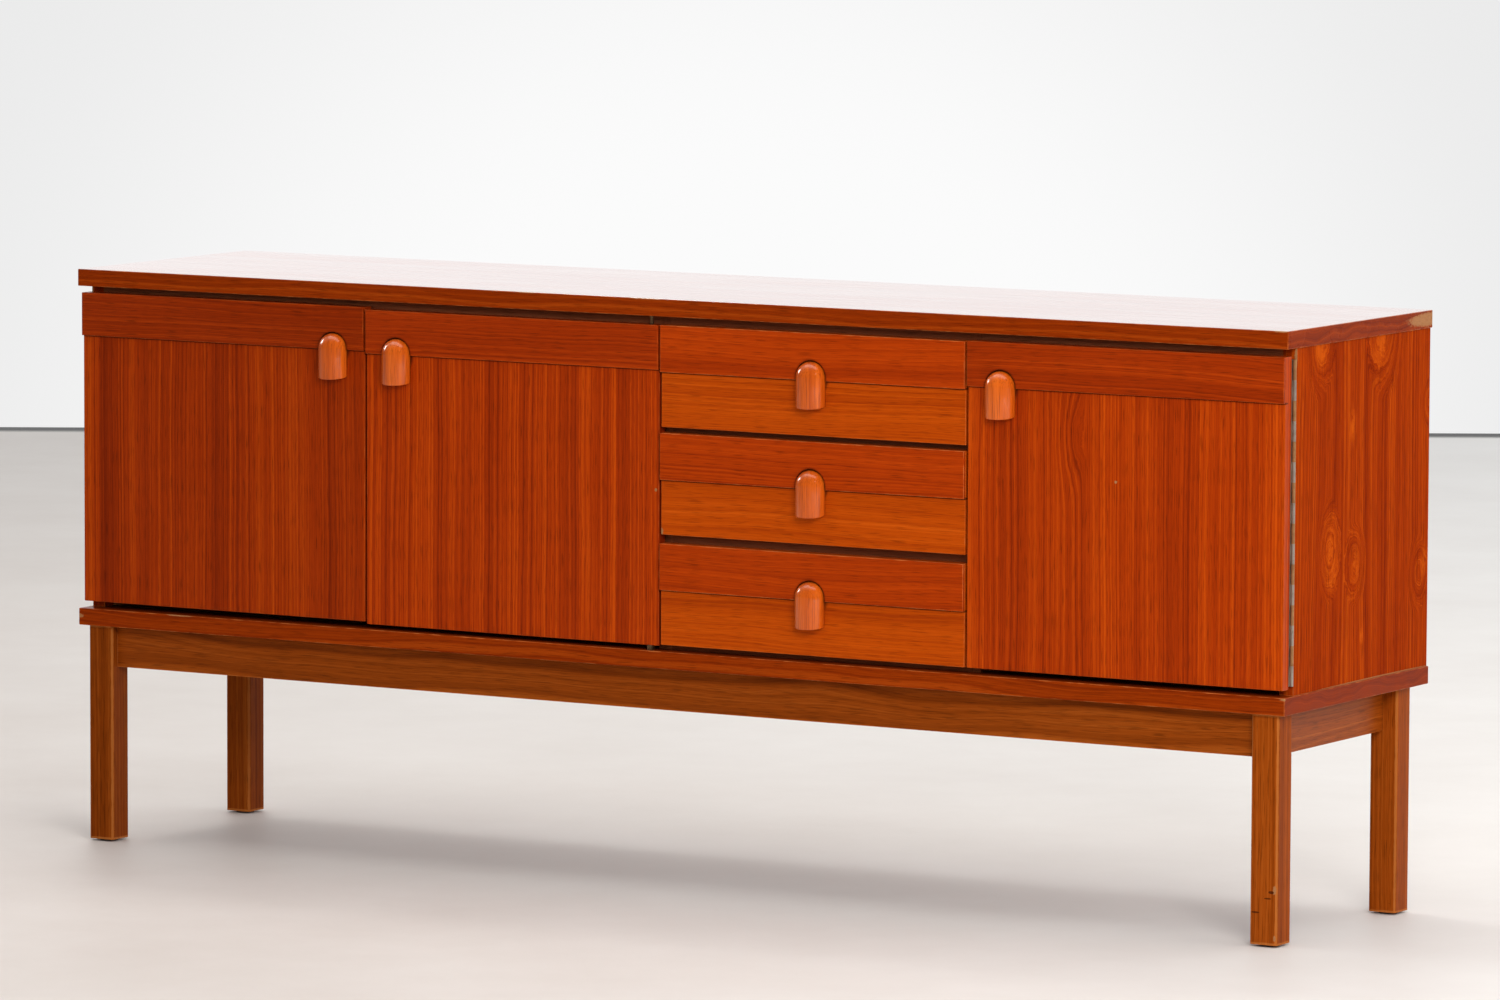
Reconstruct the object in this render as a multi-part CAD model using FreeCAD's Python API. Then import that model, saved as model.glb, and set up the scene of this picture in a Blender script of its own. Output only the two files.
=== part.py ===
"""Long low sideboard buffet on a leg frame: three doors, three drawers, two shelves.

Millimetres, +Z up. The origin is on the floor under the middle of the whole piece, with the
doors and drawers facing -Y and +X to the right of someone who stands in front of them.
"""
import FreeCAD, Part
import math
import os

os.makedirs("parts", exist_ok=True)

# ---------------------------------------------------------------- driving dimensions
# Overall
LENGTH = 1800.0
DEPTH = 396.0
HEIGHT = 763.0
LEG_HEIGHT = 289.0

# Boards of the case
BOARD = 22.5
BOARD_ARRIS = 1.2
PANEL = 19.0
PANEL_INSET = 3.0
BACK_PANEL = 5.0
BACK_REBATE = 6.0
DIVIDER_SHIFT = 5.0
SHELF = 16.0
SHELF_SET = 40.0
SHELF_SIDE_CLEAR = 1.0
SHELF_HEIGHT = 205.0

# Fronts
FRONT_END = 5.5
FRONT_GAP = 3.3
FRONT_TOP_GAP = 10.0
FRONT_BOTTOM_GAP = 8.0
FRONT_SET = 5.5
FRONT_THICK = 16.0
HINGE_SPACE = 7.5
DOOR_HANG = (1.5, -1.5, 0.0)
DRAWER_DROP = 1.0
DRAWER_GAPS = (7.3, 11.2)
FRONT_ARRIS = 0.8

# Raised strips and pulls
STRIP = 4.5
DOOR_STRIP_HEIGHT = 57.0
DRAWER_STRIP_HEIGHT = 60.0
PULL_WIDTH = 40.0
PULL_LENGTH = 60.0
PULL_DEPTH = 19.5
PULL_EDGE = 6.0
PULL_DOWN = 36.0
PULL_NOTCH_CLEAR = 2.0
PULL_UNDERCUT = 3.0
PULL_FROM_EDGE = 47.5

# Drawer boxes and their runners
DRAWER_SIDE = 12.0
DRAWER_SIDE_CLEAR = 1.5
DRAWER_BOX_DEPTH = 340.0
DRAWER_BOX_LOW = 16.0
DRAWER_BOX_DOWN = 16.5
DRAWER_BOTTOM = 5.0
DRAWER_BOTTOM_UP = 8.0
GROOVE = 5.0
GROOVE_CLEAR = 0.2
RUNNER_HEIGHT = 10.0
RUNNER_GROOVE_CLEAR = 0.4
RUNNER_TIP_CLEAR = 1.0
RUNNER_BELOW_TOP = 30.0
RAIL = 16.0
RAIL_DEPTH = 45.0

# Leg frame
LEG = 38.0
LEG_ARRIS = 4.0
LEG_SIDE_INSET = 11.0
LEG_FRONT_INSET = 7.0
LEG_REAR_INSET = 27.0
APRON_HEIGHT = 55.0
APRON = 18.0
APRON_FRONT_SET = 12.0
APRON_SIDE_SET = 20.0
CORNER_BLOCK = 45.0
CORNER_BLOCK_HEIGHT = 40.0
GLIDE_HEIGHT = 3.0
GLIDE_RADIUS = 12.0

# Piano hinges of the outer doors
KNUCKLE_RADIUS = 2.2
KNUCKLE_OUT = 0.4
HINGE_PIN_RADIUS = 0.9
HINGE_RUNNING = 0.05
HINGE_PIN_FIT = 0.01
HINGE_LEAF = 1.0
HINGE_LEAF_WIDTH = 16.0
HINGE_END = 4.0
KNUCKLE_LENGTH = 25.0
KNUCKLE_GAP = 0.2
SCREW_COUNT = 6
SCREW_HEAD_RADIUS = 2.8
SCREW_RADIUS = 1.4
SCREW_LENGTH = 12.0

# Pivots of the middle door
PIVOT_IN = 14.0
PIVOT_BACK = 9.0
PIVOT_RADIUS = 2.5
PIVOT_RUNNING = 0.05
PIVOT_DEPTH = 12.0
BUSH_RADIUS = 4.5
BUSH_DEPTH = 14.0
COLLAR_RADIUS = 5.0

# Catches and shelf pegs
CATCH = (34.0, 18.0, 11.0)
CATCH_FROM_EDGE = 60.0
CATCH_AIR = 0.3
STRIKE = (22.0, 1.0, 9.0)
PEG_RADIUS = 2.5
PEG_COLLAR_RADIUS = 5.0
PEG_COLLAR = 1.5
PEG_REACH = 8.0
PEG_PLATE = 2.0
PEG_IN = 9.0
PEG_FROM_EDGE = 45.0

# ---------------------------------------------------------------- places worked out from them
PULL_OVERHANG = PULL_DEPTH - FRONT_SET
X0 = -LENGTH / 2
X1 = LENGTH / 2
Y0 = -(DEPTH + PULL_OVERHANG) / 2 + PULL_OVERHANG
Y1 = Y0 + DEPTH
CASE_BOTTOM = LEG_HEIGHT
CASE_FLOOR = LEG_HEIGHT + BOARD
CASE_CEILING = HEIGHT - BOARD

PANEL_FRONT = Y0 + FRONT_SET + FRONT_THICK + HINGE_SPACE
BACK_FACE = Y1 - BACK_REBATE - BACK_PANEL
INNER_X0 = X0 + PANEL_INSET + PANEL
INNER_X1 = X1 - PANEL_INSET - PANEL

FRONT_WIDTH = (LENGTH - 2 * FRONT_END - 3 * FRONT_GAP) / 4
FRONT_X = [X0 + FRONT_END + i * (FRONT_WIDTH + FRONT_GAP) for i in range(4)]
FRONT_LOW = CASE_FLOOR + FRONT_BOTTOM_GAP
FRONT_HIGH = CASE_CEILING - FRONT_TOP_GAP
FRONT_HEIGHT = FRONT_HIGH - FRONT_LOW
FACE_Y = Y0 + FRONT_SET
BACK_Y = FACE_Y + FRONT_THICK
STRIP_Y = FACE_Y - STRIP
DRAWER_FRONT_HEIGHT = (FRONT_HEIGHT - DRAWER_DROP - sum(DRAWER_GAPS)) / 3

DIVIDER_LEFT_X = FRONT_X[2] - FRONT_GAP / 2 - DIVIDER_SHIFT - PANEL / 2
DIVIDER_RIGHT_X = FRONT_X[3] - FRONT_GAP / 2 - PANEL / 2
BAYS = {
    "left": (INNER_X0, DIVIDER_LEFT_X),
    "middle": (DIVIDER_LEFT_X + PANEL, DIVIDER_RIGHT_X),
    "right": (DIVIDER_RIGHT_X + PANEL, INNER_X1),
}

HINGE_Y = (BACK_Y + PANEL_FRONT) / 2
HINGE_X = X1 - PANEL_INSET - KNUCKLE_OUT
PIVOT_X = FRONT_X[1] + FRONT_WIDTH - PIVOT_IN
PIVOT_Y = STRIP_Y + PIVOT_BACK
UP = FreeCAD.Vector(0, 0, 1)
OUTWARD = FreeCAD.Vector(0, -1, 0)


# ---------------------------------------------------------------- shapes used many times
def box(x0, x1, y0, y1, z0, z1):
    return Part.makeBox(x1 - x0, y1 - y0, z1 - z0, FreeCAD.Vector(x0, y0, z0))


def post(radius, height, x, y, z):
    return Part.makeCylinder(radius, height, FreeCAD.Vector(x, y, z), UP)


def eased(solid, radius):
    """Round every edge of a plain board by a small radius."""
    return solid.makeFillet(radius, solid.Edges)


def mirrored(shape):
    """The same shape on the other end of the case."""
    return shape.mirror(FreeCAD.Vector(0, 0, 0), FreeCAD.Vector(1, 0, 0))


def save(name, solids):
    solids = list(solids)
    shape = solids[0] if len(solids) == 1 else Part.makeCompound(solids)
    shape.exportStep("parts/" + name + ".step")


def screw(x, y, z, direction):
    """Countersunk wood screw whose flat head lies at x, y, z and which points along +-Y."""
    axis = FreeCAD.Vector(0, direction, 0)
    start = FreeCAD.Vector(x, y, z)
    head = Part.makeCone(SCREW_HEAD_RADIUS, SCREW_RADIUS, SCREW_HEAD_RADIUS - SCREW_RADIUS, start, axis)
    return head.fuse(Part.makeCylinder(SCREW_RADIUS, SCREW_LENGTH, start, axis)).removeSplitter()


# ---------------------------------------------------------------- hinges and their screws
def knuckle_spans(low, high):
    """Heights of the knuckles along one piano hinge, in order from the bottom."""
    count = max(3, int((high - low) / KNUCKLE_LENGTH))
    pitch = (high - low) / count
    return [(low + i * pitch, low + (i + 1) * pitch - KNUCKLE_GAP) for i in range(count)]


def hinge_leaf(face_y, side, low, high, odd, bore):
    """One leaf of the right-hand piano hinge: a flat strip, a bent edge and every other knuckle.

    side is +1 where the strip lies on the door's back and -1 on the case panel's edge.
    """
    bend_x = HINGE_X - KNUCKLE_RADIUS - HINGE_RUNNING * 4
    strip_y = sorted((face_y, face_y + side * HINGE_LEAF))
    bend_y = sorted((face_y, HINGE_Y - side * HINGE_LEAF / 2))
    leaf = box(bend_x - HINGE_LEAF_WIDTH, bend_x, strip_y[0], strip_y[1], low, high)
    leaf = leaf.fuse(box(bend_x - HINGE_LEAF, bend_x, bend_y[0], bend_y[1], low, high))
    for index, (z0, z1) in enumerate(knuckle_spans(low, high)):
        if index % 2 == odd:
            tab_y = sorted((HINGE_Y - side * HINGE_LEAF / 2, HINGE_Y - side * HINGE_LEAF * 1.5))
            tab = box(bend_x - HINGE_LEAF, HINGE_X, tab_y[0], tab_y[1], z0, z1)
            leaf = leaf.fuse([post(KNUCKLE_RADIUS, z1 - z0, HINGE_X, HINGE_Y, z0), tab])
    leaf = leaf.cut(post(bore, high - low, HINGE_X, HINGE_Y, low))
    return leaf.removeSplitter()


def hinge_screws(face_y, direction, low, high):
    x = HINGE_X - KNUCKLE_RADIUS - HINGE_LEAF_WIDTH * 0.6
    pitch = (high - low) / SCREW_COUNT
    return [screw(x, face_y, low + (i + 0.5) * pitch, direction) for i in range(SCREW_COUNT)]


def cut_all(solid, tools):
    return solid.cut(Part.makeCompound(list(tools))) if tools else solid


# The two outer doors hang alike, so both hinges are drawn at the right and one is mirrored.
door_low = {}
door_high = {}
for number, hang in enumerate(DOOR_HANG, start=1):
    door_low[number] = FRONT_LOW + hang
    door_high[number] = FRONT_HIGH + hang
outer = {}
for number in (1, 3):
    low = door_low[number] + HINGE_END
    high = door_high[number] - HINGE_END
    door_screws = hinge_screws(BACK_Y + HINGE_LEAF, -1, low, high)
    case_screws = hinge_screws(PANEL_FRONT - HINGE_LEAF, 1, low, high)
    door_bore = HINGE_PIN_RADIUS + HINGE_RUNNING
    case_bore = HINGE_PIN_RADIUS + HINGE_PIN_FIT
    door_leaf = cut_all(hinge_leaf(BACK_Y, 1, low, high, 0, door_bore), door_screws)
    case_leaf = cut_all(hinge_leaf(PANEL_FRONT, -1, low, high, 1, case_bore), case_screws)
    pin = post(HINGE_PIN_RADIUS, high - low - KNUCKLE_GAP, HINGE_X, HINGE_Y, low)
    pieces = {"door_leaf": [door_leaf], "case_leaf": [case_leaf], "pin": [pin],
              "door_screws": door_screws, "case_screws": case_screws}
    if number == 1:
        pieces = {key: [mirrored(s) for s in shapes] for key, shapes in pieces.items()}
    outer[number] = pieces

save("hinge_frame_leaves", outer[1]["case_leaf"] + outer[3]["case_leaf"])
save("hinge_pins", outer[1]["pin"] + outer[3]["pin"])
save("case_screws", outer[1]["case_screws"] + outer[3]["case_screws"])


# ---------------------------------------------------------------- case
pivot_bush_top = post(BUSH_RADIUS, BUSH_DEPTH, PIVOT_X, PIVOT_Y, CASE_CEILING)
pivot_bush_bottom = post(BUSH_RADIUS, BUSH_DEPTH, PIVOT_X, PIVOT_Y, CASE_FLOOR - BUSH_DEPTH)
top_board = eased(box(X0, X1, Y0, Y1, CASE_CEILING, HEIGHT), BOARD_ARRIS)
bottom_board = eased(box(X0, X1, Y0, Y1, CASE_BOTTOM, CASE_FLOOR), BOARD_ARRIS)
save("top_board", [top_board.cut(pivot_bush_top)])
save("bottom_board", [bottom_board.cut(pivot_bush_bottom)])

pin_hole = PIVOT_RADIUS + PIVOT_RUNNING
bush_bore_top = post(pin_hole, PIVOT_DEPTH, PIVOT_X, PIVOT_Y, CASE_CEILING)
bush_bore_bottom = post(pin_hole, PIVOT_DEPTH, PIVOT_X, PIVOT_Y, CASE_FLOOR - PIVOT_DEPTH)
save("pivot_bushes", [pivot_bush_top.cut(bush_bore_top), pivot_bush_bottom.cut(bush_bore_bottom)])


def shelf_peg(face_x, inward, y, shelf_low):
    """Metal peg: a pin in the case panel, a collar on its face and a plate under the shelf."""
    axis = FreeCAD.Vector(inward, 0, 0)
    centre_z = shelf_low - PEG_PLATE - PEG_RADIUS
    inner_end = FreeCAD.Vector(face_x - inward * PEG_IN, y, centre_z)
    on_face = FreeCAD.Vector(face_x, y, centre_z)
    pin = Part.makeCylinder(PEG_RADIUS, PEG_IN + PEG_COLLAR, inner_end, axis)
    collar = Part.makeCylinder(PEG_COLLAR_RADIUS, PEG_COLLAR, on_face, axis)
    reach = sorted((face_x, face_x + inward * PEG_REACH))
    plate = box(reach[0], reach[1], y - PEG_COLLAR_RADIUS, y + PEG_COLLAR_RADIUS,
                shelf_low - PEG_PLATE, shelf_low)
    above = box(min(reach) - PEG_IN, max(reach) + PEG_IN, y - 2 * PEG_COLLAR_RADIUS,
                y + 2 * PEG_COLLAR_RADIUS, shelf_low, shelf_low + 2 * PEG_COLLAR_RADIUS)
    return pin.fuse([collar, plate]).cut(above).removeSplitter()


shelf_low = CASE_FLOOR + SHELF_HEIGHT
shelf_front = PANEL_FRONT + SHELF_SET
pegs = []
for bay in ("left", "right"):
    bay_x0, bay_x1 = BAYS[bay]
    shelf = box(bay_x0 + SHELF_SIDE_CLEAR, bay_x1 - SHELF_SIDE_CLEAR,
                shelf_front, BACK_FACE - SHELF_SIDE_CLEAR, shelf_low, shelf_low + SHELF)
    save("shelf_" + bay, [eased(shelf, FRONT_ARRIS)])
    for y in (shelf_front + PEG_FROM_EDGE, BACK_FACE - PEG_FROM_EDGE):
        pegs.append(shelf_peg(bay_x0, 1, y, shelf_low))
        pegs.append(shelf_peg(bay_x1, -1, y, shelf_low))
save("shelf_pegs", pegs)


def upright(x0):
    return box(x0, x0 + PANEL, PANEL_FRONT, Y1, CASE_FLOOR, CASE_CEILING)


# The outer panels reach the back edges and the thin back stands between them.
side_screws = {"left": outer[1]["case_screws"], "right": outer[3]["case_screws"]}
save("side_panel_left", [cut_all(upright(X0 + PANEL_INSET), side_screws["left"] + pegs)])
save("side_panel_right", [cut_all(upright(INNER_X1), side_screws["right"] + pegs)])
behind = box(X0, X1, BACK_FACE, Y1, CASE_FLOOR, CASE_CEILING)
save("divider_left", [cut_all(upright(DIVIDER_LEFT_X).cut(behind), pegs)])
save("divider_right", [cut_all(upright(DIVIDER_RIGHT_X).cut(behind), pegs)])
save("back_panel", [box(INNER_X0, INNER_X1, BACK_FACE, BACK_FACE + BACK_PANEL, CASE_FLOOR, CASE_CEILING)])

# A rail closes the top of each door bay behind the gap over the doors.
rail_y = (PANEL_FRONT, PANEL_FRONT + RAIL_DEPTH)
door_rails = []
for bay in ("left", "right"):
    bay_x0, bay_x1 = BAYS[bay]
    door_rails.append(box(bay_x0, bay_x1, rail_y[0], rail_y[1], CASE_CEILING - RAIL, CASE_CEILING))
save("door_top_rails", door_rails)

# ---------------------------------------------------------------- drawers
drawer_spans = []
drawer_top = FRONT_HIGH - DRAWER_DROP
for gap in DRAWER_GAPS + (0.0,):
    drawer_spans.append((drawer_top - DRAWER_FRONT_HEIGHT, drawer_top))
    drawer_top -= DRAWER_FRONT_HEIGHT + gap

bay_x0, bay_x1 = BAYS["middle"]
rail_heights = [CASE_CEILING - RAIL, CASE_FLOOR]
for (upper_low, _), (_, lower_high) in zip(drawer_spans, drawer_spans[1:]):
    rail_heights.append((upper_low + lower_high) / 2 - RAIL / 2)
save("drawer_rails", [box(bay_x0, bay_x1, rail_y[0], rail_y[1], z, z + RAIL) for z in rail_heights])

box_x0 = bay_x0 + DRAWER_SIDE_CLEAR
box_x1 = bay_x1 - DRAWER_SIDE_CLEAR
box_back = BACK_Y + DRAWER_BOX_DEPTH
runner_out = DRAWER_SIDE_CLEAR + DRAWER_SIDE / 2 - RUNNER_TIP_CLEAR
runners = []


def arched(width, arch_z, low, y0, y1, x):
    """Upright slab with a half-round head: the outline of a pull and of its notch."""
    radius = width / 2
    head = Part.makeCylinder(radius, y1 - y0, FreeCAD.Vector(x, y1, arch_z), OUTWARD)
    body = box(x - radius, x + radius, y0, y1, low, arch_z)
    return head.fuse(body).removeSplitter()


def pull(x, top_z):
    """Arched pull on the face of a front: a domed head that runs straight down to a cut foot."""
    radius = PULL_WIDTH / 2
    arch_z = top_z - PULL_DOWN - radius
    foot_z = top_z - PULL_DOWN - PULL_LENGTH
    centre = FreeCAD.Vector(x, FACE_Y, arch_z)
    crown = FreeCAD.Vector(x, FACE_Y - PULL_DEPTH, arch_z)
    edges = {}
    shoulders = {}
    curves = {}
    for side in (-1, 1):
        edges[side] = FreeCAD.Vector(x + side * radius, FACE_Y, arch_z)
        shoulders[side] = FreeCAD.Vector(x + side * radius, FACE_Y - PULL_EDGE, arch_z)
        corner = FreeCAD.Vector(x + side * radius, FACE_Y - PULL_DEPTH, arch_z)
        quarter_ellipse = Part.BezierCurve()
        quarter_ellipse.setPoles([shoulders[side], corner, crown])
        quarter_ellipse.setWeight(2, math.sqrt(0.5))
        curves[side] = quarter_ellipse.toShape()
    half = [Part.makeLine(centre, edges[1]), Part.makeLine(edges[1], shoulders[1]), curves[1],
            Part.makeLine(crown, centre)]
    head = Part.Face(Part.Wire(half)).revolve(centre, OUTWARD, 360)
    whole = [Part.makeLine(edges[-1], edges[1]), Part.makeLine(edges[1], shoulders[1]), curves[1],
             curves[-1], Part.makeLine(shoulders[-1], edges[-1])]
    body = Part.Face(Part.Wire(Part.__sortEdges__(whole))).extrude(FreeCAD.Vector(0, 0, foot_z - arch_z))
    solid = head.fuse(body).removeSplitter()
    # The foot is cut sloping up towards the front it sits on, so fingers find an edge.
    wedge = Part.Face(Part.makePolygon([
        FreeCAD.Vector(x - PULL_WIDTH, FACE_Y - PULL_DEPTH, foot_z),
        FreeCAD.Vector(x - PULL_WIDTH, FACE_Y + PULL_EDGE, foot_z),
        FreeCAD.Vector(x - PULL_WIDTH, FACE_Y, foot_z + PULL_UNDERCUT),
        FreeCAD.Vector(x - PULL_WIDTH, FACE_Y - PULL_DEPTH, foot_z),
    ])).extrude(FreeCAD.Vector(2 * PULL_WIDTH, 0, 0))
    return solid.cut(wedge)


def strip(x0, x1, low, high, pull_x):
    """Raised strip along the top of a front, notched around its pull."""
    body = eased(box(x0, x1, STRIP_Y, FACE_Y, low, high), FRONT_ARRIS)
    arch_z = high - PULL_DOWN - PULL_WIDTH / 2
    notch = arched(PULL_WIDTH + 2 * PULL_NOTCH_CLEAR, arch_z, low - PULL_NOTCH_CLEAR,
                   STRIP_Y - STRIP, FACE_Y + STRIP, pull_x)
    return body.cut(notch)


drawer_x0 = FRONT_X[2]
drawer_x1 = FRONT_X[2] + FRONT_WIDTH
for number, (low, high) in enumerate(drawer_spans, start=1):
    name = "drawer_%d_" % number
    middle_x = (drawer_x0 + drawer_x1) / 2
    box_low = low + DRAWER_BOX_LOW
    box_high = high - DRAWER_BOX_DOWN
    bottom_low = box_low + DRAWER_BOTTOM_UP
    bottom_x0 = box_x0 + DRAWER_SIDE - GROOVE
    bottom_x1 = box_x1 - DRAWER_SIDE + GROOVE
    bottom = box(bottom_x0, bottom_x1, BACK_Y, box_back, bottom_low, bottom_low + DRAWER_BOTTOM)
    groove = box(bottom_x0 - GROOVE_CLEAR, bottom_x1 + GROOVE_CLEAR, BACK_Y, box_back,
                 bottom_low, bottom_low + DRAWER_BOTTOM + GROOVE_CLEAR)
    runner_top = box_high - RUNNER_BELOW_TOP
    sides = []
    for x0, wall_x, inward in ((box_x0, bay_x0, 1), (box_x1 - DRAWER_SIDE, bay_x1, -1)):
        side = box(x0, x0 + DRAWER_SIDE, BACK_Y, box_back, box_low, box_high)
        outside_x = wall_x + inward * DRAWER_SIDE_CLEAR
        slot_x = sorted((outside_x, outside_x + inward * DRAWER_SIDE / 2))
        slot = box(slot_x[0], slot_x[1], BACK_Y + GROOVE, box_back,
                   runner_top - RUNNER_HEIGHT - RUNNER_GROOVE_CLEAR, runner_top)
        sides.append(side.cut(groove).cut(slot))
        runner_x = sorted((wall_x, wall_x + inward * runner_out))
        runners.append(box(runner_x[0], runner_x[1], PANEL_FRONT, BACK_FACE,
                           runner_top - RUNNER_HEIGHT, runner_top))
    save(name + "front", [eased(box(drawer_x0, drawer_x1, FACE_Y, BACK_Y, low, high), FRONT_ARRIS)])
    save(name + "strip", [strip(drawer_x0, drawer_x1, high - DRAWER_STRIP_HEIGHT, high, middle_x)])
    save(name + "pull", [pull(middle_x, high)])
    save(name + "sides", sides)
    save(name + "back", [box(box_x0 + DRAWER_SIDE, box_x1 - DRAWER_SIDE, box_back - DRAWER_SIDE, box_back,
                             bottom_low + DRAWER_BOTTOM, box_high)])
    save(name + "bottom", [bottom])
save("drawer_runners", runners)

# ---------------------------------------------------------------- doors
pull_x = {
    1: FRONT_X[0] + FRONT_WIDTH - PULL_FROM_EDGE,
    2: FRONT_X[1] + PULL_FROM_EDGE,
    3: FRONT_X[3] + PULL_FROM_EDGE,
}
door_x0 = {1: FRONT_X[0], 2: FRONT_X[1], 3: FRONT_X[3]}
catch_x = {
    1: FRONT_X[0] + FRONT_WIDTH - CATCH_FROM_EDGE,
    2: FRONT_X[1] + CATCH_FROM_EDGE,
    3: FRONT_X[3] + CATCH_FROM_EDGE,
}
catch_high = CASE_CEILING - RAIL
catches = []
for number in (1, 2, 3):
    name = "door_%d_" % number
    x0 = door_x0[number]
    x1 = x0 + FRONT_WIDTH
    low = door_low[number]
    high = door_high[number]
    strike_x = catch_x[number] - STRIKE[0] / 2
    strike_low = catch_high - CATCH[2] / 2 - STRIKE[2] / 2
    strike_high = strike_low + STRIKE[2]
    strike = box(strike_x, strike_x + STRIKE[0], BACK_Y, BACK_Y + STRIKE[1], strike_low, strike_high)
    magnet_x = catch_x[number] - CATCH[0] / 2
    magnet_y = BACK_Y + STRIKE[1] + CATCH_AIR
    catches.append(box(magnet_x, magnet_x + CATCH[0], magnet_y, PANEL_FRONT + CATCH[1],
                       catch_high - CATCH[2], catch_high))
    panel = eased(box(x0, x1, FACE_Y, BACK_Y, low, high), FRONT_ARRIS)
    if number == 2:
        # Each pin sits in the panel's end and stands in a bush in the board that it meets.
        bottom_reach = low - CASE_FLOOR
        top_reach = CASE_CEILING - high
        in_board = PIVOT_DEPTH * 2 / 3
        pin_foot = CASE_FLOOR - in_board
        lower = post(PIVOT_RADIUS, PIVOT_DEPTH + bottom_reach + in_board, PIVOT_X, PIVOT_Y, pin_foot)
        lower = lower.fuse(post(COLLAR_RADIUS, bottom_reach, PIVOT_X, PIVOT_Y, CASE_FLOOR)).removeSplitter()
        upper = post(PIVOT_RADIUS, PIVOT_DEPTH + top_reach + in_board, PIVOT_X, PIVOT_Y, high - PIVOT_DEPTH)
        panel = cut_all(panel, [lower, upper])
        save(name + "pivot_pins", [lower, upper])
        save(name + "fixings", [strike])
    else:
        panel = cut_all(panel, outer[number]["door_screws"])
        save(name + "hinge_leaf", outer[number]["door_leaf"])
        save(name + "fixings", outer[number]["door_screws"] + [strike])
    save(name + "panel", [panel])
    save(name + "strip", [strip(x0, x1, high - DOOR_STRIP_HEIGHT, high, pull_x[number])])
    save(name + "pull", [pull(pull_x[number], high)])
save("magnet_catches", catches)

# ---------------------------------------------------------------- leg frame
leg_x = {"left": X0 + LEG_SIDE_INSET, "right": X1 - LEG_SIDE_INSET - LEG}
leg_y = {"front": Y0 + LEG_FRONT_INSET, "rear": Y1 - LEG_REAR_INSET - LEG}
glides = []
for row, y in leg_y.items():
    for end, x in leg_x.items():
        leg = box(x, x + LEG, y, y + LEG, GLIDE_HEIGHT, CASE_BOTTOM)
        uprights = [e for e in leg.Edges if abs(e.tangentAt(e.FirstParameter).z) > 0.9]
        save("leg_%s_%s" % (row, end), [leg.makeFillet(LEG_ARRIS, uprights)])
        glides.append(post(GLIDE_RADIUS, GLIDE_HEIGHT, x + LEG / 2, y + LEG / 2, 0))
save("foot_glides", glides)

apron_low = CASE_BOTTOM - APRON_HEIGHT
apron_x = (leg_x["left"] + LEG, leg_x["right"])
apron_y = {"front": leg_y["front"] + APRON_FRONT_SET, "rear": leg_y["rear"] + LEG - APRON_FRONT_SET - APRON}
for row, y in apron_y.items():
    save("apron_" + row, [box(apron_x[0], apron_x[1], y, y + APRON, apron_low, CASE_BOTTOM)])
side_x = (leg_x["left"] + APRON_SIDE_SET, leg_x["right"] + LEG - APRON_SIDE_SET - APRON)
side_y = (leg_y["front"] + LEG, leg_y["rear"])
save("side_aprons", [box(x, x + APRON, side_y[0], side_y[1], apron_low, CASE_BOTTOM) for x in side_x])

blocks = []
for x, x_in in ((leg_x["left"] + LEG, 1), (leg_x["right"], -1)):
    for y, y_in in ((apron_y["front"] + APRON, 1), (apron_y["rear"], -1)):
        corners = [(x, y), (x + x_in * CORNER_BLOCK, y), (x, y + y_in * CORNER_BLOCK), (x, y)]
        outline = [FreeCAD.Vector(cx, cy, CASE_BOTTOM - CORNER_BLOCK_HEIGHT) for cx, cy in corners]
        block = Part.Face(Part.makePolygon(outline)).extrude(FreeCAD.Vector(0, 0, CORNER_BLOCK_HEIGHT))
        blocks.append(block)
save("corner_blocks", blocks)
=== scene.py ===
import bmesh
import bpy
import math
from mathutils import Matrix, Vector


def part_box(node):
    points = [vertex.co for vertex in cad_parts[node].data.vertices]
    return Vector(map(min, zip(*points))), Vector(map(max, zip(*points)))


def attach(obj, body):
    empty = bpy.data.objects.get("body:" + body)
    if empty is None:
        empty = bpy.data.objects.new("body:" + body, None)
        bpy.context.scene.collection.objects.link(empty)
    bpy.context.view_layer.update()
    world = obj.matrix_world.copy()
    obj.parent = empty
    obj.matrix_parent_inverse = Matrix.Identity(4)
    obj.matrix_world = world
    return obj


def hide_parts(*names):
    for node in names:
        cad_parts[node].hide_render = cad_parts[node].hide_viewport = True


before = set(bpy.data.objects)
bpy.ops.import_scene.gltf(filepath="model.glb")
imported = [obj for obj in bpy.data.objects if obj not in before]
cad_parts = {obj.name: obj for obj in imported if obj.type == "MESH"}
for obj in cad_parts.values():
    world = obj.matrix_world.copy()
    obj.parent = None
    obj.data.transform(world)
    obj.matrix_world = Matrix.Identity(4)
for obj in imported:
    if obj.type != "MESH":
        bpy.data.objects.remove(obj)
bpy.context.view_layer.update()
scene = bpy.context.scene
scene.view_settings.view_transform = "Standard"

# Camera: a long lens at standing height, turned 31 degrees to the right of the front and
# tilted a little down, far enough away for the whole length to sit in the picture.
camera_data = bpy.data.cameras.new("camera")
camera_data.lens = 213.3
camera_data.sensor_width = 36.0
camera_data.clip_end = 200.0
camera = bpy.data.objects.new("camera", camera_data)
turn = 0.53648
tilt = -0.10188
roll = -0.00433
camera.matrix_world = (Matrix.Translation((5.8624, -9.8195, 1.6587))
                       @ Matrix.Rotation(turn, 4, "Z")
                       @ Matrix.Rotation(math.pi / 2 + tilt, 4, "X")
                       @ Matrix.Rotation(-roll, 4, "Z"))
scene.collection.objects.link(camera)
scene.camera = camera

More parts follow.
